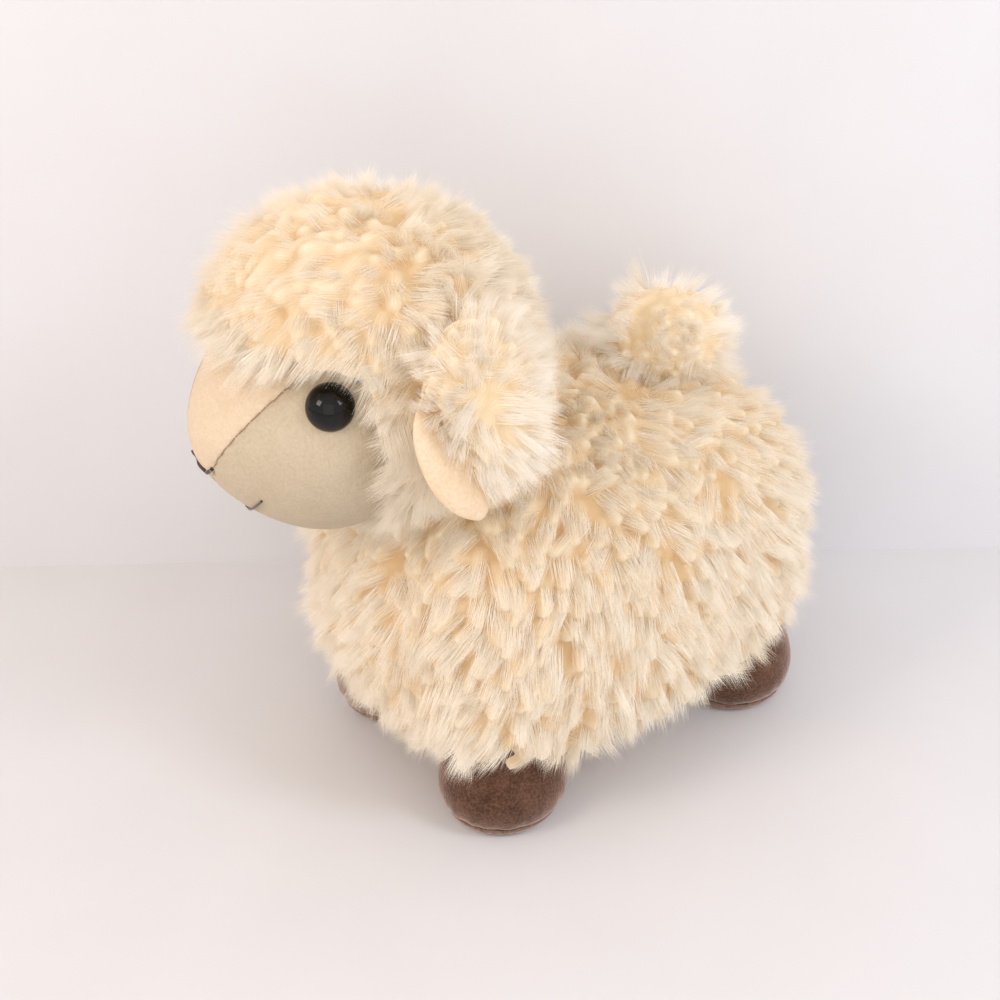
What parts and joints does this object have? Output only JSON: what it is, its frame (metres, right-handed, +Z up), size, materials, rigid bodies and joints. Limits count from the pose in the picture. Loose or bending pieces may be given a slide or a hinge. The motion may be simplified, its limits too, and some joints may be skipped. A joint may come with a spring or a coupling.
{
  "type": "plush lamb",
  "caption": "Stuffed plush lamb standing on short brown feet, in shaggy cream fleece with a short-pile seamed face, bead eyes, floppy ears and a stub tail.",
  "frame": {"origin": "bottom centre of the whole toy's bounding box, on the surface it stands on", "axes": "+X to the toy's own left, -Y the way it faces, +Z up"},
  "size_m": [0.135, 0.2184, 0.2164],
  "materials": {
    "fleece": "matte",
    "ear_fleece": "matte",
    "tail_fleece": "matte",
    "face_velour": "matte",
    "foot_velour": "matte",
    "sole_velour": "matte",
    "stuffing": "matte",
    "thread": "satin",
    "eye_plastic": "gloss",
    "washer_plastic": "matte"
  },
  "bodies": {
    "body": {"body_fleece": "fleece", "body_stuffing": "stuffing"},
    "head": {"head_fleece": "fleece", "nose_panel": "face_velour", "left_cheek_panel": "face_velour", "right_cheek_panel": "face_velour", "head_stuffing": "stuffing", "left_eye": "eye_plastic", "right_eye": "eye_plastic", "left_eye_washer": "washer_plastic", "right_eye_washer": "washer_plastic", "nose_stitch": "thread", "mouth_stitch": "thread"},
    "left_ear": {"left_ear_fleece": "ear_fleece", "left_ear_lining": "face_velour"},
    "right_ear": {"right_ear_fleece": "ear_fleece", "right_ear_lining": "face_velour"},
    "tail": {"tail_fleece": "tail_fleece"},
    "front_left_leg": {"front_left_foot_cover": "foot_velour", "front_left_sole": "sole_velour", "front_left_leg_stuffing": "stuffing"},
    "front_right_leg": {"front_right_foot_cover": "foot_velour", "front_right_sole": "sole_velour", "front_right_leg_stuffing": "stuffing"},
    "rear_left_leg": {"rear_left_foot_cover": "foot_velour", "rear_left_sole": "sole_velour", "rear_left_leg_stuffing": "stuffing"},
    "rear_right_leg": {"rear_right_foot_cover": "foot_velour", "rear_right_sole": "sole_velour", "rear_right_leg_stuffing": "stuffing"}
  },
  "joints": [
    {"name": "neck_nod", "type": "hinge", "parent": "body", "child": "head", "pos_m": [0, -0.04956, 0.163], "axis": [1, 0, 0], "range_deg": [-8, 8], "stiffness_Nm_per_rad": 0.3},
    {"name": "left_ear_lift", "type": "hinge", "parent": "head", "child": "left_ear", "pos_m": [0.04347, -0.04655, 0.192], "axis": [0, -1, 0], "range_deg": [0, 85]},
    {"name": "right_ear_lift", "type": "hinge", "parent": "head", "child": "right_ear", "pos_m": [-0.04347, -0.04655, 0.192], "axis": [0, 1, 0], "range_deg": [0, 85]},
    {"name": "tail_flip", "type": "hinge", "parent": "body", "child": "tail", "pos_m": [0, 0.06345, 0.12829], "axis": [1, 0, 0], "range_deg": [-20, 20], "stiffness_Nm_per_rad": 0.02},
    {"name": "front_left_leg_swing", "type": "hinge", "parent": "body", "child": "front_left_leg", "pos_m": [0.035, -0.02655, 0.045], "axis": [0.9903, 0.1392, 0], "range_deg": [-12, 12], "stiffness_Nm_per_rad": 0.25},
    {"name": "front_right_leg_swing", "type": "hinge", "parent": "body", "child": "front_right_leg", "pos_m": [-0.035, -0.02655, 0.045], "axis": [0.9903, -0.1392, 0], "range_deg": [-12, 12], "stiffness_Nm_per_rad": 0.25},
    {"name": "rear_left_leg_swing", "type": "hinge", "parent": "body", "child": "rear_left_leg", "pos_m": [0.028, 0.08144, 0.045], "axis": [0.9135, 0.4067, 0], "range_deg": [-12, 12], "stiffness_Nm_per_rad": 0.25},
    {"name": "rear_right_leg_swing", "type": "hinge", "parent": "body", "child": "rear_right_leg", "pos_m": [-0.028, 0.08144, 0.045], "axis": [0.9135, -0.4067, 0], "range_deg": [-12, 12], "stiffness_Nm_per_rad": 0.25}
  ]
}
